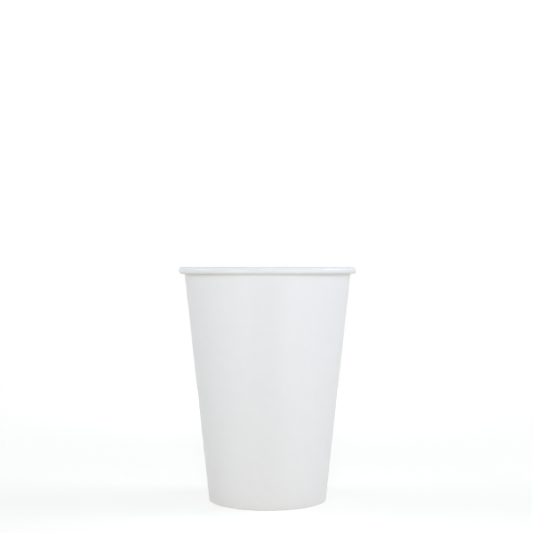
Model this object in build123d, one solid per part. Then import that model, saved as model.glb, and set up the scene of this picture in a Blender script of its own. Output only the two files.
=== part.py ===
from build123d import *
import math
import os

# Single-wall paper cup, in millimetres: +Z up, origin at the centre of the foot, side seam at +Y.
#
# The cup is two pieces of coated paperboard. The side wall is one fan-shaped blank, wrapped into
# a cone and lapped at the seam, where its outer end climbs over its inner end. Its top edge is
# rolled outwards into the rim curl, and its bottom edge is folded inwards and up into a hem. The
# bottom disc is a shallow drawn tray, upside down, whose skirt is held between wall and hem.
#
# A depth is how far a surface lies behind the wall's outer face, square to it.

# Driving dimensions of the whole cup
RIM_DIAMETER = 90.0  # across the outside of the rim curl
BASE_DIAMETER = 59.2  # across the outside of the wall, where its slope meets the table
CUP_HEIGHT = 118.0

# Side wall sheet
WALL_THICKNESS = 0.35
HEM_SETBACK = 1.0  # from the hem's top edge up to where the disc bends into its skirt
FOOT_CHAMFER = 0.3  # taken off the outer corner of the foot fold

# Rim curl: the roll is shut on itself, so it is solid inside
CURL_WIDTH = 3.0  # across the roll
CURL_FLAT = 0.5  # straight stretch down the outer side of the roll
CURL_INNER_COUNT = 4  # flats from the wall's inner face up to the top of the roll
CURL_OUTER_COUNT = 4  # flats from the top of the roll to its outer side
CURL_UNDER_COUNT = 7  # flats from the outer side, round below the roll, back to the wall

# Side seam
SEAM_LAP = 8.0  # width of the overlap
SEAM_SQUEEZE = 0.07  # what the press takes off the two layers together
SEAM_RAMP = 2.6  # width over which the outer layer comes down past the inner layer's edge

# Bottom disc sheet
DISC_THICKNESS = 0.3
DISC_HEIGHT = 8.6  # upper face of the disc above the table
DISC_BEND_RADIUS = 0.7  # inside the bend from the disc down into its skirt
DISC_BEND_COUNT = 2  # flats of the bend
SKIRT_GAP = 0.12  # from the skirt's lower edge down to the foot that it stands in
BOND_GAP = 0.02  # film of coating that seals the skirt, on each of its sides

TOOL_MARGIN = 1.0  # what a trimming solid reaches past the faces that it trims


def taper_angle():
    """Radians that the wall leans out: its inner face runs on into the outside of the roll."""
    roll_inside = CURL_WIDTH / 2 - WALL_THICKNESS
    across = RIM_DIAMETER / 2 - CURL_WIDTH / 2 - BASE_DIAMETER / 2
    up = CUP_HEIGHT - CURL_WIDTH / 2
    return math.atan2(across, up) - math.asin(roll_inside / math.hypot(across, up))


TAPER = taper_angle()
TAPER_DEGREES = math.degrees(TAPER)
SKIRT_DEPTH = WALL_THICKNESS + BOND_GAP
HEM_DEPTH = SKIRT_DEPTH + DISC_THICKNESS + BOND_GAP
HEM_HEIGHT = DISC_HEIGHT - DISC_THICKNESS - DISC_BEND_RADIUS - HEM_SETBACK
SEAM_STEP = WALL_THICKNESS - SEAM_SQUEEZE  # what the seam's outer layer stands proud


def sheet_point(height, depth):
    """Radius and height of a point at this height on the sloping face of this depth."""
    radius = BASE_DIAMETER / 2 + height * math.tan(TAPER) - depth / math.cos(TAPER)
    return (radius, height)


def rounded(centre, radius, first, last, count):
    """Points round a centre from one angle in degrees to another, as flats of equal turn."""
    angles = [math.radians(first + (last - first) * k / count) for k in range(count + 1)]
    return [(centre[0] + radius * math.cos(a), centre[1] + radius * math.sin(a)) for a in angles]


def section(outline):
    """A closed outline of radii and heights, standing on the seam's side of the cup."""
    return Plane.YZ * make_face(Polyline(*outline, close=True))


def wall_section(push):
    """The wall sheet from the hem's top edge, round the foot and up, into the rim curl.

    A pushed sheet lies this far outside its place, to go round another layer: further out on
    the wall, further in on the hem, and tighter in the roll. The foot stays on the table.
    """
    roll_radius = CURL_WIDTH / 2 - push
    roll_top = (RIM_DIAMETER / 2 - CURL_WIDTH / 2, CUP_HEIGHT - CURL_WIDTH / 2)
    roll_low = (roll_top[0], roll_top[1] - CURL_FLAT)
    wall_reach = roll_radius - WALL_THICKNESS + CURL_FLAT * math.sin(TAPER)
    tuck = math.degrees(math.acos(wall_reach / roll_radius)) - TAPER_DEGREES - 180
    outline = [
        sheet_point(0, HEM_DEPTH + WALL_THICKNESS + push),
        sheet_point(HEM_HEIGHT, HEM_DEPTH + WALL_THICKNESS + push),
        sheet_point(HEM_HEIGHT, HEM_DEPTH + push),
        sheet_point(WALL_THICKNESS, HEM_DEPTH + push),
        sheet_point(WALL_THICKNESS, WALL_THICKNESS - push),
        *rounded(roll_top, roll_radius, 180 - TAPER_DEGREES, 90, CURL_INNER_COUNT)[:-1],
        *rounded(roll_top, roll_radius, 90, 0, CURL_OUTER_COUNT),
        *rounded(roll_low, roll_radius, 0, tuck, CURL_UNDER_COUNT),
        sheet_point(FOOT_CHAMFER, -push),
        sheet_point(0, FOOT_CHAMFER - push),
    ]
    return section(outline)


def make_side_wall():
    """The wrapped, lapped, rolled and folded sheet, sealed into one piece along its seam."""
    level = wall_section(0)
    raised = wall_section(SEAM_STEP)
    ramp_angle = math.degrees(SEAM_RAMP / (RIM_DIAMETER / 2))
    wrap = revolve(level, Axis.Z, 360 - ramp_angle)
    ramp = loft([raised, Rot(0, 0, -ramp_angle) * level], ruled=True)

    # The outer layer is cut off along a line beside the inner layer's edge, a lap's width away
    hem_inside, _ = sheet_point(0, HEM_DEPTH + WALL_THICKNESS + SEAM_STEP)
    lap_angle = math.degrees(math.asin((SEAM_LAP + TOOL_MARGIN) / hem_inside))
    kept = Box(
        SEAM_LAP + TOOL_MARGIN,
        RIM_DIAMETER,
        CUP_HEIGHT + 2 * TOOL_MARGIN,
        align=(Align.MIN, Align.MIN, Align.MIN),
    )
    lap = revolve(raised, Axis.Z, lap_angle) & Pos(-SEAM_LAP, 0, -TOOL_MARGIN) * kept
    return wrap + [ramp, lap]


def make_bottom_disc():
    """The disc, bent down all round into the skirt that stands in the foot fold."""
    skirt_foot = WALL_THICKNESS + SKIRT_GAP
    outer_radius = DISC_BEND_RADIUS + DISC_THICKNESS
    bend = sheet_point(DISC_HEIGHT - outer_radius, SKIRT_DEPTH + outer_radius)
    outline = [
        sheet_point(skirt_foot, SKIRT_DEPTH + DISC_THICKNESS),
        sheet_point(skirt_foot, SKIRT_DEPTH),
        *rounded(bend, outer_radius, -TAPER_DEGREES, 90, DISC_BEND_COUNT),
        (0, DISC_HEIGHT),
        (0, DISC_HEIGHT - DISC_THICKNESS),
        *rounded(bend, DISC_BEND_RADIUS, 90, -TAPER_DEGREES, DISC_BEND_COUNT),
    ]
    return revolve(section(outline), Axis.Z)


os.makedirs("parts", exist_ok=True)
export_step(make_side_wall(), "parts/side_wall.step")
export_step(make_bottom_disc(), "parts/bottom_disc.step")
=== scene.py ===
import math

import bmesh
import bpy
from bpy.props import FloatProperty, FloatVectorProperty, IntProperty, PointerProperty
from bpy.types import Operator, Panel, PropertyGroup
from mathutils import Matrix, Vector, noise


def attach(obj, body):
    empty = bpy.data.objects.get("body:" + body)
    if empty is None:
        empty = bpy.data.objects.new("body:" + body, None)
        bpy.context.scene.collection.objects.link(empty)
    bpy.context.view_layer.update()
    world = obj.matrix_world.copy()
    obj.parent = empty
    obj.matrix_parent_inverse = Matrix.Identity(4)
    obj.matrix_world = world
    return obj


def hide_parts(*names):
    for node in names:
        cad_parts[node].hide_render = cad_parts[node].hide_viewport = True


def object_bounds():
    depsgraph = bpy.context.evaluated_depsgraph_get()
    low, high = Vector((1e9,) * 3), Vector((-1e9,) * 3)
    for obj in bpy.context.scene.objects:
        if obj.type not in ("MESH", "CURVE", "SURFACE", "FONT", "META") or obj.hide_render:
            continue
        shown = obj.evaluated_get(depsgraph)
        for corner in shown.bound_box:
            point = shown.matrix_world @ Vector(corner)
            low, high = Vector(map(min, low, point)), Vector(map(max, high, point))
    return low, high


bl_info = {
    "name": "Paper cup",
    "version": (1, 0, 0),
    "blender": (4, 5, 0),
    "location": "View3D > Sidebar > Paper cup",
    "description": "Models a plain single-wall paper cup from its two sheets of coated board",
    "category": "Add Mesh",
}

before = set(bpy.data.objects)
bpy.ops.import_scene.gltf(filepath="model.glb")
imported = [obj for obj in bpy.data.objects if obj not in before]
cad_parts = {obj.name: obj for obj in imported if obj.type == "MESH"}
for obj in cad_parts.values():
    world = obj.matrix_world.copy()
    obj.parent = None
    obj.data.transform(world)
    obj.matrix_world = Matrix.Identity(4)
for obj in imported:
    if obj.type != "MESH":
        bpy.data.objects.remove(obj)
CAD_LOW, CAD_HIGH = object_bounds()

MM = 0.001
FULL_TURN = 2 * math.pi
FLAT_FACE_ANGLE = math.radians(35)  # sharper edges than this are shaded as edges
MERGE_DISTANCE = 0.001 * MM
CUP_AXIS = (0, 0, 1)
BEND_AXIS = (1, 0, 0)  # what the bends of an outline turn about, which is drawn at the seam
FAR_SIDE_SLOT = 1  # material of a sheet's other side, counted from that of the side drawn
CUT_EDGE_SLOT = 2

# Rows of faces along the wall's outline, from the hem's top edge to the end inside the roll
HEM_ROWS = 9
BEND_ROWS = 4
WALL_ROWS = 16
ROLL_ROWS = 18
TAIL_ROWS = 10
TAIL_TURN = 170  # degrees that the board's end turns up inside the roll

# Rows of faces along the disc's outline, from the skirt's lower edge to the middle
SKIRT_ROWS = 6
DISC_BEND_ROWS = 8
DISC_ROWS = 12

# Stretches that are plain upright wall, as shares of the cup's height and of the disc's
PLAIN_WALL = (0.3, 0.7)
PLAIN_SKIRT = 0.7

# The lap is spun a little wider than it is, and then cut off along its line
LAP_ROOM = 1.1
LAP_STEPS = 30
FOOT_LIFT_REACH = 1.6  # board thicknesses above the table up to which the inner foot is lifted

# Heights over which the hem's ribs rise and fall, above the table and below the hem's edge
RIB_RISE = (0.8 * MM, 1.6 * MM)
RIB_FALL = (0.9 * MM, 0.3 * MM)

# Heights over which the wall's unevenness comes and goes, above the table and below the rim
UNEVEN_RISE = (10 * MM, 35 * MM)
UNEVEN_FALL = (14 * MM, 3 * MM)
WAVE_SCALE = 38.0  # waves of the unevenness in a metre

# The disc's folds, which start outside a ring inside its bend, and above the hem's edge
FOLD_RING = (1.8 * MM, 0.3 * MM)
FOLD_HEIGHT = (1.6 * MM, 0.4 * MM)
FOLD_WANDER_SCALE = 2.0  # how often the folds crowd and spread on the way round
FOLD_WANDER = 9  # how far they do, in radians of the folds' own wave
FOLD_SIZE_SCALE = 4.0  # how often the folds grow and shrink, against how often they wander
FOLD_SIZE_MEAN = 0.55  # as a share of the pucker depth
FOLD_SIZE_SPREAD = 0.45
FOLD_SIZE_PLACE = Vector((0, 0, 5))  # where in the noise their sizes are read

# The disc's sag, which is full inside this share of the bend's radius and ends short of the bend
SAG_INSIDE = 0.55
SAG_MARGIN = 1.2 * MM
SAG_DEPTH = 1.2  # on the mean, as a multiple of the unevenness
SAG_PLACE = Vector((3, 1, 2))  # where in the noise its waves are read

# The three finishes of the board, with what stays the same whatever their colour
FINISHES = {
    "board_outside": {
        "cloud_tint": (0.988, 0.987, 0.985),
        "roughness_spread": 0.10,
        "fibre_shade": 0.020,
        "relief": 0.006 * MM,
        "specular": 0.5,
    },
    "board_inside": {
        "cloud_tint": (0.988, 0.987, 0.985),
        "roughness_spread": 0.12,
        "fibre_shade": 0.012,
        "relief": 0.004 * MM,
        "specular": 0.5,
    },
    "board_cut_edge": {
        "cloud_tint": (0.93, 0.91, 0.88),
        "roughness_spread": 0.06,
        "fibre_shade": 0.16,
        "relief": 0.020 * MM,
        "specular": 0.3,
    },
}
BOARD_IOR = 1.47
BOARD_GROUP = "paper_board"
BOARD_INPUTS = (
    ("Colour", (0.8, 0.8, 0.8, 1.0)),
    ("Cloud colour", (0.75, 0.75, 0.75, 1.0)),
    ("Cloud size", 220.0),
    ("Fibre size", 1500.0),
    ("Fibre shade", 0.02),
    ("Roughness", 0.5),
    ("Roughness spread", 0.08),
)
CLOUD_NOISE = {"Detail": 3.0, "Roughness": 0.55}
CLOUD_RANGE = (0.32, 0.68)  # what of the noise goes from one cloud colour to the other
CLOUD_RELIEF = 0.35  # how high the clouds stand, against the fibres
FIBRE_NOISE = {"Detail": 4.0, "Roughness": 0.7, "Distortion": 1.4}

# Each lamp's name, place in metres, width, watts and colour
LAMPS = (
    ("front_lamp", (0.0, -1.1, 0.52), 0.25, 3.5, (0.83, 0.865, 1.0)),
    ("right_lamp", (1.1, 0.1, 0.45), 0.7, 5.05, (0.86, 0.905, 1.0)),
    ("left_lamp", (-1.1, 0.1, 0.45), 0.7, 3.65, (0.855, 0.905, 1.0)),
    ("low_right_lamp", (0.30, -0.45, 0.04), 0.15, 0.63, (0.94, 0.98, 1.0)),
    ("low_left_lamp", (-0.30, -0.45, 0.04), 0.15, 0.52, (0.97, 1.0, 0.97)),
    ("low_back_lamp", (0.0, 0.54, 0.045), 0.14, 0.95, (1.0, 1.0, 1.0)),
    ("top_lamp", (0.0, 0.0, 1.1), 0.6, 1.0, (1.0, 0.97, 0.92)),
)

# Camera, floor and sky
SENSOR_WIDTH = 36.0  # millimetres
NEAREST_SEEN = 0.01  # metres
LEVEL_VIEW = (math.radians(90), 0, 0)
FLOOR_SIDES = 96
FLOOR_ROUGHNESS = 0.9
SKY_RISE = (-0.1, 0.9)  # upward part of a direction, over which the low sky turns into the high
LOW_SKY = (0.92, 0.87, 0.80)
HIGH_SKY = (0.84, 0.93, 1.0)


class CupSizes(PropertyGroup):
    """Sizes of the two sheets, in metres."""

    rim_diameter: FloatProperty(
        name="Rim diameter",
        description="Across the outside of the rim curl",
        default=90.0 * MM,
        unit="LENGTH",
    )
    base_diameter: FloatProperty(
        name="Base diameter",
        description="Across the outside of the wall, where its slope meets the table",
        default=59.2 * MM,
        unit="LENGTH",
    )
    height: FloatProperty(
        name="Height",
        description="From the table to the top of the rim curl",
        default=CAD_HIGH.z,
        unit="LENGTH",
    )
    wall_thickness: FloatProperty(
        name="Wall board",
        description="Thickness of the side wall's board",
        default=0.35 * MM,
        unit="LENGTH",
    )
    curl_width: FloatProperty(
        name="Curl width",
        description="Across the roll of the rim curl",
        default=3.0 * MM,
        unit="LENGTH",
    )
    curl_flat: FloatProperty(
        name="Curl flat",
        description="Straight stretch down the outer side of the roll",
        default=0.5 * MM,
        unit="LENGTH",
    )
    curl_tail_radius: FloatProperty(
        name="Curl tail radius",
        description="Radius at which the board's end turns up inside the roll",
        default=0.78 * MM,
        unit="LENGTH",
    )
    hem_height: FloatProperty(
        name="Hem height",
        description="Top edge of the folded hem above the table",
        default=6.6 * MM,
        unit="LENGTH",
    )
    hem_depth: FloatProperty(
        name="Hem depth",
        description="From the wall's outer face to the hem's face on the cup's axis side",
        default=1.04 * MM,
        unit="LENGTH",
    )
    foot_round: FloatProperty(
        name="Foot round",
        description="Outer radius of the two bends of the foot fold",
        default=0.4 * MM,
        unit="LENGTH",
    )
    seam_lap: FloatProperty(
        name="Seam lap",
        description="Width of the overlap at the side seam",
        default=8.0 * MM,
        unit="LENGTH",
    )
    seam_ramp: FloatProperty(
        name="Seam ramp",
        description="Width over which the outer layer comes down past the inner layer's edge",
        default=2.6 * MM,
        unit="LENGTH",
    )
    knurl_count: IntProperty(
        name="Knurl ribs",
        description="Ribs that the crimping wheel presses into the hem all round",
        default=120,
    )
    knurl_depth: FloatProperty(
        name="Knurl depth",
        description="How far the ribs of the hem stand out",
        default=0.11 * MM,
        unit="LENGTH",
    )
    disc_thickness: FloatProperty(
        name="Disc board",
        description="Thickness of the bottom disc's board",
        default=0.3 * MM,
        unit="LENGTH",
    )
    disc_height: FloatProperty(
        name="Disc height",
        description="Upper face of the bottom disc above the table",
        default=8.6 * MM,
        unit="LENGTH",
    )
    disc_bend_radius: FloatProperty(
        name="Disc bend radius",
        description="Inside radius of the bend from the disc into its skirt",
        default=0.7 * MM,
        unit="LENGTH",
    )
    skirt_depth: FloatProperty(
        name="Skirt depth",
        description="From the wall's outer face to the outer face of the disc's skirt",
        default=0.37 * MM,
        unit="LENGTH",
    )
    skirt_foot: FloatProperty(
        name="Skirt foot",
        description="Lower edge of the disc's skirt above the table",
        default=0.8 * MM,
        unit="LENGTH",
    )
    pucker_count: IntProperty(
        name="Puckers",
        description="Small folds that drawing the disc leaves round its bend",
        default=86,
    )
    pucker_depth: FloatProperty(
        name="Pucker depth",
        description="How deep the folds of the bend are",
        default=0.07 * MM,
        unit="LENGTH",
    )
    unevenness: FloatProperty(
        name="Unevenness",
        description="How far the wall strays from a true cone",
        default=0.06 * MM,
        unit="LENGTH",
    )
    steps: IntProperty(
        name="Steps",
        description="Faces all the way round the cup",
        default=480,
    )


class BoardFinish(PropertyGroup):
    """Colours and surface of the coated board."""

    outside: FloatVectorProperty(
        name="Outside",
        description="White coating on the outside of the board",
        default=(0.840, 0.850, 0.862),
        subtype="COLOR",
        size=3,
        min=0.0,
        max=1.0,
    )
    inside: FloatVectorProperty(
        name="Inside",
        description="Sealing film on the drink's side of the board",
        default=(0.835, 0.848, 0.862),
        subtype="COLOR",
        size=3,
        min=0.0,
        max=1.0,
    )
    cut_edge: FloatVectorProperty(
        name="Cut edge",
        description="Bare board where the sheet was cut",
        default=(0.730, 0.690, 0.610),
        subtype="COLOR",
        size=3,
        min=0.0,
        max=1.0,
    )
    outside_roughness: FloatProperty(
        name="Outside roughness",
        description="Mean roughness of the outside coating",
        default=0.46,
        subtype="FACTOR",
        min=0.0,
        max=1.0,
    )
    inside_roughness: FloatProperty(
        name="Inside roughness",
        description="Mean roughness of the sealing film",
        default=0.36,
        subtype="FACTOR",
        min=0.0,
        max=1.0,
    )
    edge_roughness: FloatProperty(
        name="Edge roughness",
        description="Mean roughness of the cut board",
        default=0.85,
        subtype="FACTOR",
        min=0.0,
        max=1.0,
    )


class StageSettings(PropertyGroup):
    """Camera, floor and lights."""

    camera_place: FloatVectorProperty(
        name="Camera place",
        description="Where the camera stands, level, looking along +Y",
        default=(-0.54 * MM, -593.0 * MM, 118.25 * MM),
        subtype="TRANSLATION",
        size=3,
    )
    lens: FloatProperty(
        name="Lens",
        description="Focal length in millimetres on a 36 mm sensor",
        default=78.62,
        unit="CAMERA",
    )
    floor_radius: FloatProperty(
        name="Floor radius",
        description="Radius of the round floor",
        default=6.0,
        unit="LENGTH",
    )
    floor: FloatVectorProperty(
        name="Floor",
        description="Pale colour of the floor where it is seen",
        default=(0.68, 0.665, 0.635),
        subtype="COLOR",
        size=3,
        min=0.0,
        max=1.0,
    )
    floor_bounce_near: FloatVectorProperty(
        name="Near bounce",
        description="Colour of the light that the floor close to the cup gives back",
        default=(0.60, 0.51, 0.39),
        subtype="COLOR",
        size=3,
        min=0.0,
        max=1.0,
    )
    floor_bounce_far: FloatVectorProperty(
        name="Far bounce",
        description="Colour of the light that the rest of the floor gives back",
        default=(0.62, 0.61, 0.60),
        subtype="COLOR",
        size=3,
        min=0.0,
        max=1.0,
    )
    floor_glow: FloatProperty(
        name="Floor glow",
        description="What lifts the lit floor to white where the camera sees it",
        default=0.44,
        min=0.0,
    )
    floor_fade_start: FloatProperty(
        name="Fade start",
        description="Distance from the cup at which the floor starts to turn white",
        default=0.16,
        unit="LENGTH",
    )
    floor_fade_end: FloatProperty(
        name="Fade end",
        description="Distance from the cup from which the floor is plain white",
        default=0.60,
        unit="LENGTH",
    )
    sky_power: FloatProperty(
        name="Sky power",
        description="Strength of the soft light from all round",
        default=0.44,
        min=0.0,
    )
    lamp_level: FloatProperty(
        name="Lamp level",
        description="Turns all the lamps up or down together",
        default=1.0,
        min=0.0,
    )


# Outlines of the sheets


def lean(sizes):
    """Radians that the wall leans out, so that it runs on into the roll of the rim."""
    roll_inside = sizes.curl_width / 2 - sizes.wall_thickness
    across = (sizes.rim_diameter - sizes.curl_width - sizes.base_diameter) / 2
    up = sizes.height - sizes.curl_width / 2
    return math.atan2(across, up) - math.asin(roll_inside / math.hypot(across, up))


def sheet_point(sizes, height, depth):
    """The point at this height on a sloping face, this deep behind the wall's outer face."""
    tilt = lean(sizes)
    radius = sizes.base_diameter / 2 + height * math.tan(tilt) - depth / math.cos(tilt)
    return Vector((0, radius, height))


def start_line(mesh, place):
    """One vertex, from which an outline is drawn."""
    return mesh.verts.new(place)


def straight(mesh, vert, place, pieces=1):
    """Draws the outline on to this place, in equal pieces, and returns its new end."""
    first = vert.co.copy()
    for piece in range(pieces):
        made = bmesh.ops.extrude_vert_indiv(mesh, verts=[vert])
        vert = made["verts"][0]
        vert.co = first.lerp(place, (piece + 1) / pieces)
    return vert


def arc(mesh, vert, centre, degrees, steps):
    """Draws the outline round a centre, from the radius towards +Z, and returns its new end."""
    made = bmesh.ops.spin(
        mesh,
        geom=[vert],
        cent=centre,
        axis=BEND_AXIS,
        angle=math.radians(degrees),
        steps=steps,
        use_merge=False,
    )
    return next(item for item in made["geom_last"] if isinstance(item, bmesh.types.BMVert))


def draw_wall_line(mesh, sizes):
    """The outside face of the wall's sheet: hem, foot fold, wall and rim curl."""
    tilt = math.degrees(lean(sizes))
    bend = sizes.foot_round
    vert = start_line(mesh, sheet_point(sizes, sizes.hem_height, sizes.hem_depth))
    vert = straight(mesh, vert, sheet_point(sizes, bend, sizes.hem_depth), HEM_ROWS)
    inner_bend = sheet_point(sizes, bend, sizes.hem_depth - bend)
    vert = arc(mesh, vert, inner_bend, 90 + tilt, BEND_ROWS)
    outer_bend = sheet_point(sizes, bend, bend)
    vert = straight(mesh, vert, outer_bend - Vector((0, 0, bend)))
    vert = arc(mesh, vert, outer_bend, 90 - tilt, BEND_ROWS)

    # The wall runs up to where it touches the inside of the roll
    roll_outside = sizes.curl_width / 2
    roll_inside = roll_outside - sizes.wall_thickness
    across = (sizes.rim_diameter - sizes.curl_width) / 2
    roll_top = Vector((0, across, sizes.height - roll_outside))
    roll_low = roll_top - Vector((0, 0, sizes.curl_flat))
    touch = Vector((0, -math.cos(lean(sizes)), math.sin(lean(sizes))))
    vert = straight(mesh, vert, roll_top + touch * roll_inside, WALL_ROWS)
    vert = arc(mesh, vert, roll_top, tilt - 180, ROLL_ROWS)
    vert = straight(mesh, vert, vert.co - Vector((0, 0, sizes.curl_flat)))
    vert = arc(mesh, vert, roll_low, -90, ROLL_ROWS // 2)
    tail_centre = roll_low - Vector((0, 0, roll_inside - sizes.curl_tail_radius))
    arc(mesh, vert, tail_centre, -TAIL_TURN, TAIL_ROWS)


def draw_disc_line(mesh, sizes, bend):
    """The upper face of the disc's sheet: skirt, the bend round this point, and the disc."""
    outer_radius = sizes.disc_bend_radius + sizes.disc_thickness
    tilt = lean(sizes)
    skirt_top = bend + outer_radius * Vector((0, math.cos(tilt), -math.sin(tilt)))
    vert = start_line(mesh, sheet_point(sizes, sizes.skirt_foot, sizes.skirt_depth))
    vert = straight(mesh, vert, skirt_top, SKIRT_ROWS)
    vert = arc(mesh, vert, bend, 90 + math.degrees(tilt), DISC_BEND_ROWS)
    straight(mesh, vert, Vector((0, 0, sizes.disc_height)), DISC_ROWS)


# Wrapping and shifting


def wrap(mesh, geometry, turn, steps, closed=False):
    """Spins an outline about the cup's axis and returns where it ends."""
    made = bmesh.ops.spin(
        mesh,
        geom=geometry,
        cent=(0, 0, 0),
        axis=CUP_AXIS,
        angle=turn,
        steps=steps,
        use_merge=closed,
    )
    return made["geom_last"]


def rise(value, low, high):
    """0 below low, 1 above high, and a smooth rise between."""
    part = min(max((value - low) / (high - low), 0.0), 1.0)
    return part * part * (3 - 2 * part)


def band(height, top, start, end):
    """0 at both ends of a stretch and 1 between them; its end is measured down from the top."""
    return rise(height, *start) * (1 - rise(height, top - end[0], top - end[1]))


def turn_of(vert):
    """Radians from the seam's line at +Y towards -X."""
    return math.atan2(-vert.co.x, vert.co.y) % FULL_TURN


def radius_of(vert):
    """Distance from the cup's axis."""
    return math.hypot(vert.co.x, vert.co.y)


def face_outwards(mesh, low, high):
    """Turns an open sheet so that its upright stretch between these heights looks outwards."""
    bmesh.ops.recalc_face_normals(mesh, faces=mesh.faces)
    mesh.normal_update()
    middles = ((face, face.calc_center_median()) for face in mesh.faces)
    sample, middle = next(pair for pair in middles if low < pair[1].z < high)
    if sample.normal.dot(Vector((middle.x, middle.y, 0))) < 0:
        bmesh.ops.reverse_faces(mesh, faces=mesh.faces)
    mesh.normal_update()


def shift_all(shifts):
    """Moves each vertex by its shift, and none below the table."""
    for vert, shift in shifts.items():
        vert.co += shift
        vert.co.z = max(vert.co.z, 0.0)


# Finished pieces


def thicken(piece, thickness):
    """Gives the sheet its thickness inwards, and shades its cut edges sharp."""
    board = piece.modifiers.new("Board thickness", "SOLIDIFY")
    board.thickness = thickness
    board.offset = -1
    board.use_even_offset = True
    board.use_quality_normals = True
    board.material_offset = FAR_SIDE_SLOT
    board.material_offset_rim = CUT_EDGE_SLOT
    graph = bpy.context.evaluated_depsgraph_get()
    solid = bpy.data.meshes.new_from_object(piece.evaluated_get(graph))
    piece.modifiers.clear()
    piece.data = solid
    solid.name = piece.name
    solid.set_sharp_from_angle(angle=FLAT_FACE_ANGLE)


def new_piece(name, mesh, materials):
    """A shown object with smooth faces, made from this bmesh."""
    for face in mesh.faces:
        face.smooth = True
    data = bpy.data.meshes.new(name)
    mesh.to_mesh(data)
    mesh.free()
    for material in materials:
        data.materials.append(material)
    piece = bpy.data.objects.new(name, data)
    bpy.context.scene.collection.objects.link(piece)
    return piece


# Materials


def board_group():
    """Cloudy pulp and fine fibres of paper board, shared by all its finishes."""
    if BOARD_GROUP in bpy.data.node_groups:
        return bpy.data.node_groups[BOARD_GROUP]
    tree = bpy.data.node_groups.new(BOARD_GROUP, "ShaderNodeTree")
    for label, value in BOARD_INPUTS:
        kind = "NodeSocketColor" if isinstance(value, tuple) else "NodeSocketFloat"
        socket = tree.interface.new_socket(label, in_out="INPUT", socket_type=kind)
        socket.default_value = value
    for label, kind in (
        ("Colour", "NodeSocketColor"),
        ("Roughness", "NodeSocketFloat"),
        ("Height", "NodeSocketFloat"),
    ):
        tree.interface.new_socket(label, in_out="OUTPUT", socket_type=kind)
    nodes, links = tree.nodes, tree.links
    start = nodes.new("NodeGroupInput").outputs
    end = nodes.new("NodeGroupOutput").inputs
    place = nodes.new("ShaderNodeTexCoord").outputs["Object"]
    clouds = add_noise(nodes, links, place, start["Cloud size"], CLOUD_NOISE)
    fibres = add_noise(nodes, links, place, start["Fibre size"], FIBRE_NOISE)

    cloud_mask = nodes.new("ShaderNodeMapRange")
    cloud_mask.inputs["From Min"].default_value = CLOUD_RANGE[0]
    cloud_mask.inputs["From Max"].default_value = CLOUD_RANGE[1]
    links.new(clouds, cloud_mask.inputs["Value"])
    clouded = add_mix(nodes, links, cloud_mask.outputs["Result"])
    links.new(start["Cloud colour"], clouded.inputs["A"])
    links.new(start["Colour"], clouded.inputs["B"])

    # Fibres darken the colour by up to their shade
    dip = add_math(nodes, links, "MULTIPLY", start["Fibre shade"], -1.0)
    shaded = nodes.new("ShaderNodeVectorMath")
    shaded.operation = "SCALE"
    links.new(clouded.outputs["Result"], shaded.inputs[0])
    links.new(add_math(nodes, links, "MULTIPLY_ADD", fibres, dip, 1.0), shaded.inputs["Scale"])
    links.new(shaded.outputs["Vector"], end["Colour"])

    # Roughness goes up and down with the clouds, about its mean
    swing = add_math(nodes, links, "SUBTRACT", clouds, 0.5)
    spread, mean = start["Roughness spread"], start["Roughness"]
    links.new(add_math(nodes, links, "MULTIPLY_ADD", swing, spread, mean), end["Roughness"])

    height = add_math(nodes, links, "MULTIPLY_ADD", clouds, CLOUD_RELIEF, fibres)
    links.new(height, end["Height"])
    return tree


def add_noise(nodes, links, place, scale, settings):
    """A noise texture on these coordinates, and what it puts out."""
    texture = nodes.new("ShaderNodeTexNoise")
    for label, value in settings.items():
        texture.inputs[label].default_value = value
    links.new(place, texture.inputs["Vector"])
    links.new(scale, texture.inputs["Scale"])
    return texture.outputs["Fac"]


def add_math(nodes, links, operation, *values):
    """A Math node of numbers and other nodes' outputs, and what it puts out."""
    node = nodes.new("ShaderNodeMath")
    node.operation = operation
    for socket, value in zip(node.inputs, values):
        if isinstance(value, float):
            socket.default_value = value
        else:
            links.new(value, socket)
    return node.outputs["Value"]


def add_mix(nodes, links, factor):
    """A mix of two colours by this mask."""
    mix = nodes.new("ShaderNodeMix")
    mix.data_type = "RGBA"
    links.new(factor, mix.inputs["Factor"])
    return mix


def board_material(name, colour, roughness):
    """A finish of the paper board, in this colour."""
    look = FINISHES[name]
    material = bpy.data.materials.new(name)
    material.use_nodes = True
    nodes, links = material.node_tree.nodes, material.node_tree.links
    shader = nodes["Principled BSDF"]
    board = nodes.new("ShaderNodeGroup")
    board.node_tree = board_group()
    cloud_colour = [part * tint for part, tint in zip(colour, look["cloud_tint"])]
    board.inputs["Colour"].default_value = (*colour, 1.0)
    board.inputs["Cloud colour"].default_value = (*cloud_colour, 1.0)
    board.inputs["Fibre shade"].default_value = look["fibre_shade"]
    board.inputs["Roughness"].default_value = roughness
    board.inputs["Roughness spread"].default_value = look["roughness_spread"]
    bump = nodes.new("ShaderNodeBump")
    bump.inputs["Strength"].default_value = 1.0
    bump.inputs["Distance"].default_value = look["relief"]
    links.new(board.outputs["Colour"], shader.inputs["Base Color"])
    links.new(board.outputs["Roughness"], shader.inputs["Roughness"])
    links.new(board.outputs["Height"], bump.inputs["Height"])
    links.new(bump.outputs["Normal"], shader.inputs["Normal"])
    shader.inputs["IOR"].default_value = BOARD_IOR
    shader.inputs["Specular IOR Level"].default_value = look["specular"]


def board_materials(finish):
    """Outside coating, drink-side film and cut board, made once."""
    looks = {
        "board_outside": (finish.outside, finish.outside_roughness),
        "board_inside": (finish.inside, finish.inside_roughness),
        "board_cut_edge": (finish.cut_edge, finish.edge_roughness),
    }
    for name, (colour, roughness) in looks.items():
        if name not in bpy.data.materials:
            board_material(name, colour, roughness)
    return [bpy.data.materials[name] for name in looks]


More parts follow.
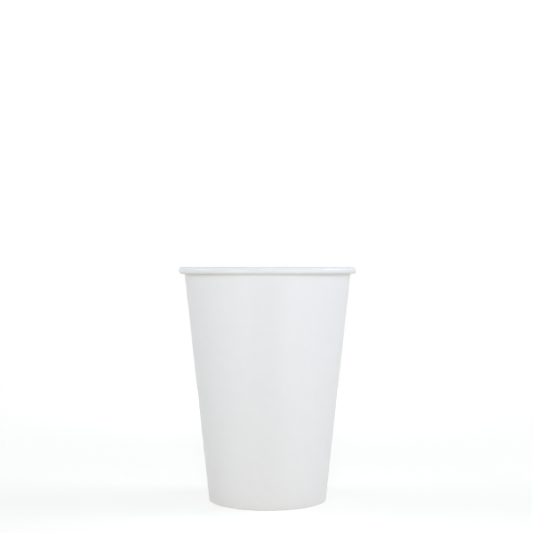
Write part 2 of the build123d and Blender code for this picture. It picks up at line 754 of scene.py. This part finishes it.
class PAPERCUP_OT_side_wall(Operator):
    """Wraps, laps, rolls and folds the side wall's sheet"""

    bl_idname = "papercup.side_wall"
    bl_label = "Side wall"

    def execute(self, context):
        sizes = context.scene.cup_sizes
        mesh = bmesh.new()
        draw_wall_line(mesh, sizes)

        # One turn less the ramp, then the ramp and the lap that climb over the sheet's other end
        ramp_turn = sizes.seam_ramp / (sizes.rim_diameter / 2)
        lap_turn = LAP_ROOM * sizes.seam_lap / (sizes.base_diameter / 2)
        outline = mesh.verts[:] + mesh.edges[:]
        round_end = wrap(mesh, outline, FULL_TURN - ramp_turn, sizes.steps)
        inner_layer = set(mesh.verts)
        wrap(mesh, round_end, ramp_turn + lap_turn, LAP_STEPS)
        face_outwards(mesh, *(share * sizes.height for share in PLAIN_WALL))

        # Every shift is along the sheet's own normal, read before anything moves
        shifts = {}
        for vert in mesh.verts:
            if vert in inner_layer:
                shift = self.lift_foot(vert, sizes)
            else:
                shift = self.climb_ramp(vert, sizes, ramp_turn)
            shifts[vert] = shift + self.press_and_stray(vert, sizes)
        shift_all(shifts)
        self.cut_lap(mesh, sizes, inner_layer)
        wall = new_piece("side_wall_board", mesh, board_materials(context.scene.board_finish))
        thicken(wall, sizes.wall_thickness)
        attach(wall, "root")
        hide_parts("side_wall")
        return {"FINISHED"}

    def climb_ramp(self, vert, sizes, ramp_turn):
        """Takes the outer layer out by one board, on the way up the ramp and over the lap."""
        since_ramp = (turn_of(vert) - (FULL_TURN - ramp_turn)) % FULL_TURN
        return vert.normal * sizes.wall_thickness * rise(since_ramp, 0.0, ramp_turn)

    def lift_foot(self, vert, sizes):
        """Lifts the inner layer's foot inside the lap, so that it lies in the outer one's."""
        board = sizes.wall_thickness
        lift = 0.0
        if vert.co.z < FOOT_LIFT_REACH * board:
            past_lap = turn_of(vert) * sizes.base_diameter / 2 - sizes.seam_lap
            lift = board * (1 - rise(past_lap, 0.0, sizes.seam_ramp))
        return Vector((0, 0, lift))

    def press_and_stray(self, vert, sizes):
        """Presses the ribs into the hem, and lets the wall stray from a true cone."""
        height = vert.co.z
        hem_far_side = sheet_point(sizes, height, sizes.hem_depth - sizes.wall_thickness)
        if radius_of(vert) < hem_far_side.y:
            rib = 0.5 + 0.5 * math.cos(sizes.knurl_count * turn_of(vert))
            pressed = band(height, sizes.hem_height, RIB_RISE, RIB_FALL)
            return vert.normal * sizes.knurl_depth * pressed * rib
        wave = noise.noise(vert.co * WAVE_SCALE)
        free = band(height, sizes.height, UNEVEN_RISE, UNEVEN_FALL)
        return vert.normal * sizes.unevenness * free * wave

    def cut_lap(self, mesh, sizes, inner_layer):
        """Cuts the lap off along a straight line beside the inner edge, a lap's width away."""
        lap = [face for face in mesh.faces if not inner_layer.issuperset(face.verts)]
        parts = dict.fromkeys(lap)
        parts.update(dict.fromkeys(edge for face in lap for edge in face.edges))
        parts.update(dict.fromkeys(vert for face in lap for vert in face.verts))
        bmesh.ops.bisect_plane(
            mesh,
            geom=list(parts),
            plane_co=(-sizes.seam_lap, 0, 0),
            plane_no=(-1, 0, 0),
            clear_outer=True,
        )


class PAPERCUP_OT_bottom_disc(Operator):
    """Draws the bottom disc, with its puckered bend and its skirt"""

    bl_idname = "papercup.bottom_disc"
    bl_label = "Bottom disc"

    def execute(self, context):
        sizes = context.scene.cup_sizes
        outer_radius = sizes.disc_bend_radius + sizes.disc_thickness
        bend_height = sizes.disc_height - outer_radius
        bend = sheet_point(sizes, bend_height, sizes.skirt_depth + outer_radius)
        mesh = bmesh.new()
        draw_disc_line(mesh, sizes, bend)
        wrap(mesh, mesh.verts[:] + mesh.edges[:], FULL_TURN, sizes.steps, closed=True)
        bmesh.ops.remove_doubles(mesh, verts=mesh.verts, dist=MERGE_DISTANCE)
        face_outwards(mesh, 0.0, PLAIN_SKIRT * sizes.disc_height)

        shifts = {}
        for vert in mesh.verts:
            shift = self.pucker(vert, sizes, bend)
            shift.z -= self.sag(vert, sizes, bend)
            shifts[vert] = shift
        shift_all(shifts)
        outside, inside, cut_edge = board_materials(context.scene.board_finish)
        disc = new_piece("bottom_disc_board", mesh, (inside, outside, cut_edge))
        thicken(disc, sizes.disc_thickness)
        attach(disc, "root")
        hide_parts("bottom_disc")
        return {"FINISHED"}

    def pucker(self, vert, sizes, bend):
        """Presses small folds into the bend, which crowd, spread, grow and shrink on the way."""
        ring_start, ring_end = FOLD_RING
        below, above = FOLD_HEIGHT
        near_bend = rise(radius_of(vert), bend.y - ring_start, bend.y + ring_end)
        near_bend *= rise(vert.co.z, sizes.hem_height - below, sizes.hem_height + above)
        turn = turn_of(vert)
        place = Vector((math.cos(turn), math.sin(turn), 0)) * FOLD_WANDER_SCALE
        wander = FOLD_WANDER * noise.noise(place)
        fold = 0.5 + 0.5 * math.sin(sizes.pucker_count * turn + wander)
        size = FOLD_SIZE_SPREAD * noise.noise(place * FOLD_SIZE_SCALE + FOLD_SIZE_PLACE)
        size += FOLD_SIZE_MEAN
        return -vert.normal * sizes.pucker_depth * near_bend * fold * size

    def sag(self, vert, sizes, bend):
        """How far the loose middle of the disc hangs down here."""
        loose = 1 - rise(radius_of(vert), SAG_INSIDE * bend.y, bend.y - SAG_MARGIN)
        wave = noise.noise(vert.co * WAVE_SCALE + SAG_PLACE)
        return sizes.unevenness * loose * (SAG_DEPTH + wave)


class PAPERCUP_OT_stage(Operator):
    """Sets the camera, the pale floor and the soft light"""

    bl_idname = "papercup.stage"
    bl_label = "Stage"

    def execute(self, context):
        stage = context.scene.stage_settings
        self.add_camera(context, stage)
        self.add_floor(stage)
        self.add_world(context, stage)
        aim = Vector((0, 0, CAD_HIGH.z / 2))
        for name, place, width, watts, colour in LAMPS:
            self.add_lamp(name, place, aim, width, stage.lamp_level * watts, colour)
        context.scene.view_settings.view_transform = "Standard"
        return {"FINISHED"}

    def add_camera(self, context, stage):
        """Looks level at the cup from where the photograph was taken."""
        lens = bpy.data.cameras.new("camera")
        lens.lens = stage.lens
        lens.sensor_width = SENSOR_WIDTH
        lens.clip_start = NEAREST_SEEN
        camera = bpy.data.objects.new("camera", lens)
        camera.location = stage.camera_place
        camera.rotation_euler = LEVEL_VIEW
        context.scene.collection.objects.link(camera)
        context.scene.camera = camera

    def add_floor(self, stage):
        """A wide round floor at the cup's foot."""
        mesh = bmesh.new()
        bmesh.ops.create_circle(
            mesh,
            cap_ends=True,
            segments=FLOOR_SIDES,
            radius=stage.floor_radius,
        )
        floor = new_piece("floor", mesh, [self.floor_material(stage)])

    def floor_material(self, stage):
        """Pale and matt; the camera sees it lifted to white, with the cup's shadow on it."""
        material = bpy.data.materials.new("floor")
        material.use_nodes = True
        nodes, links = material.node_tree.nodes, material.node_tree.links
        shader = nodes["Principled BSDF"]
        shader.inputs["Roughness"].default_value = FLOOR_ROUGHNESS
        shader.inputs["Specular IOR Level"].default_value = 0.0
        seen = self.seen_mask(nodes, links)
        glow = nodes.new("ShaderNodeEmission")
        strength = add_math(nodes, links, "MULTIPLY", seen, stage.floor_glow)
        links.new(strength, glow.inputs["Strength"])
        lit = nodes.new("ShaderNodeAddShader")
        links.new(shader.outputs["BSDF"], lit.inputs[0])
        links.new(glow.outputs["Emission"], lit.inputs[1])

        # How far away from the cup this place of the floor is, from 0 to 1
        place = nodes.new("ShaderNodeTexCoord")
        distance = nodes.new("ShaderNodeVectorMath")
        distance.operation = "LENGTH"
        links.new(place.outputs["Object"], distance.inputs[0])
        far = nodes.new("ShaderNodeMapRange")
        far.interpolation_type = "SMOOTHSTEP"
        far.inputs["From Min"].default_value = stage.floor_fade_start
        far.inputs["From Max"].default_value = stage.floor_fade_end
        links.new(distance.outputs["Value"], far.inputs["Value"])

        # As light, the floor gives back a warmer tone near the cup than further off
        bounce = add_mix(nodes, links, far.outputs["Result"])
        bounce.inputs["A"].default_value = (*stage.floor_bounce_near, 1.0)
        bounce.inputs["B"].default_value = (*stage.floor_bounce_far, 1.0)
        colour = add_mix(nodes, links, seen)
        links.new(bounce.outputs["Result"], colour.inputs["A"])
        colour.inputs["B"].default_value = (*stage.floor, 1.0)
        links.new(colour.outputs["Result"], shader.inputs["Base Color"])

        # Away from the cup the floor that is seen turns plain white, so no horizon shows
        white = nodes.new("ShaderNodeEmission")
        whole = nodes.new("ShaderNodeMixShader")
        far_seen = add_math(nodes, links, "MULTIPLY", far.outputs["Result"], seen)
        links.new(far_seen, whole.inputs["Fac"])
        links.new(lit.outputs["Shader"], whole.inputs[1])
        links.new(white.outputs["Emission"], whole.inputs[2])
        links.new(whole.outputs["Shader"], nodes["Material Output"].inputs["Surface"])
        return material

    def seen_mask(self, nodes, links):
        """1 for what the camera sees, straight or by gloss or glass, and 0 for light."""
        path = nodes.new("ShaderNodeLightPath").outputs
        straight_or_gloss = add_math(
            nodes, links, "MAXIMUM", path["Is Camera Ray"], path["Is Glossy Ray"])
        return add_math(nodes, links, "MAXIMUM", straight_or_gloss, path["Is Transmission Ray"])

    def add_world(self, context, stage):
        """White where it is seen, and a soft sky, cooler from above, as light."""
        world = bpy.data.worlds.new("white_room")
        world.use_nodes = True
        context.scene.world = world
        nodes, links = world.node_tree.nodes, world.node_tree.links
        sky = nodes["Background"]
        direction = nodes.new("ShaderNodeTexCoord")
        upward = nodes.new("ShaderNodeSeparateXYZ")
        links.new(direction.outputs["Generated"], upward.inputs["Vector"])
        ramp = nodes.new("ShaderNodeMapRange")
        ramp.inputs["From Min"].default_value = SKY_RISE[0]
        ramp.inputs["From Max"].default_value = SKY_RISE[1]
        links.new(upward.outputs["Z"], ramp.inputs["Value"])
        tint = add_mix(nodes, links, ramp.outputs["Result"])
        tint.inputs["A"].default_value = (*LOW_SKY, 1.0)
        tint.inputs["B"].default_value = (*HIGH_SKY, 1.0)
        links.new(tint.outputs["Result"], sky.inputs["Color"])
        sky.inputs["Strength"].default_value = stage.sky_power
        white = nodes.new("ShaderNodeBackground")
        white.inputs["Color"].default_value = (1.0, 1.0, 1.0, 1.0)
        white.inputs["Strength"].default_value = 1.0
        choice = nodes.new("ShaderNodeMixShader")
        links.new(self.seen_mask(nodes, links), choice.inputs["Fac"])
        links.new(sky.outputs["Background"], choice.inputs[1])
        links.new(white.outputs["Background"], choice.inputs[2])
        links.new(choice.outputs["Shader"], nodes["World Output"].inputs["Surface"])

    def add_lamp(self, name, place, aim, width, watts, colour):
        """A round soft lamp that shines at this point."""
        light = bpy.data.lights.new(name, "AREA")
        light.shape = "DISK"
        light.size = width
        light.energy = watts
        light.color = colour
        lamp = bpy.data.objects.new(name, light)
        lamp.location = place
        lamp.rotation_euler = (aim - Vector(place)).to_track_quat("-Z", "Y").to_euler()
        bpy.context.scene.collection.objects.link(lamp)


class PAPERCUP_PT_panel(Panel):
    """Lists the cup's pieces and its stage"""

    bl_idname = "PAPERCUP_PT_panel"
    bl_label = "Paper cup"
    bl_space_type = "VIEW_3D"
    bl_region_type = "UI"
    bl_category = "Paper cup"

    def draw(self, context):
        scene = context.scene
        for operator in OPERATORS:
            self.layout.operator(operator.bl_idname)
        for settings in (scene.cup_sizes, scene.board_finish, scene.stage_settings):
            box = self.layout.box()
            for name in settings.__annotations__:
                box.prop(settings, name)


GROUPS = {
    "cup_sizes": CupSizes,
    "board_finish": BoardFinish,
    "stage_settings": StageSettings,
}
OPERATORS = (PAPERCUP_OT_side_wall, PAPERCUP_OT_bottom_disc, PAPERCUP_OT_stage)
CLASSES = (*GROUPS.values(), *OPERATORS, PAPERCUP_PT_panel)


def register():
    """Makes the settings, the operators and the panel known."""
    for item in CLASSES:
        bpy.utils.register_class(item)
    for name, group in GROUPS.items():
        setattr(bpy.types.Scene, name, PointerProperty(type=group))


def unregister():
    """Takes them away again."""
    for name in GROUPS:
        delattr(bpy.types.Scene, name)
    for item in reversed(CLASSES):
        bpy.utils.unregister_class(item)


def main():
    """Builds both sheets and the stage."""
    register()
    bpy.ops.papercup.side_wall()
    bpy.ops.papercup.bottom_disc()
    bpy.ops.papercup.stage()


if __name__ == "__main__":
    main()
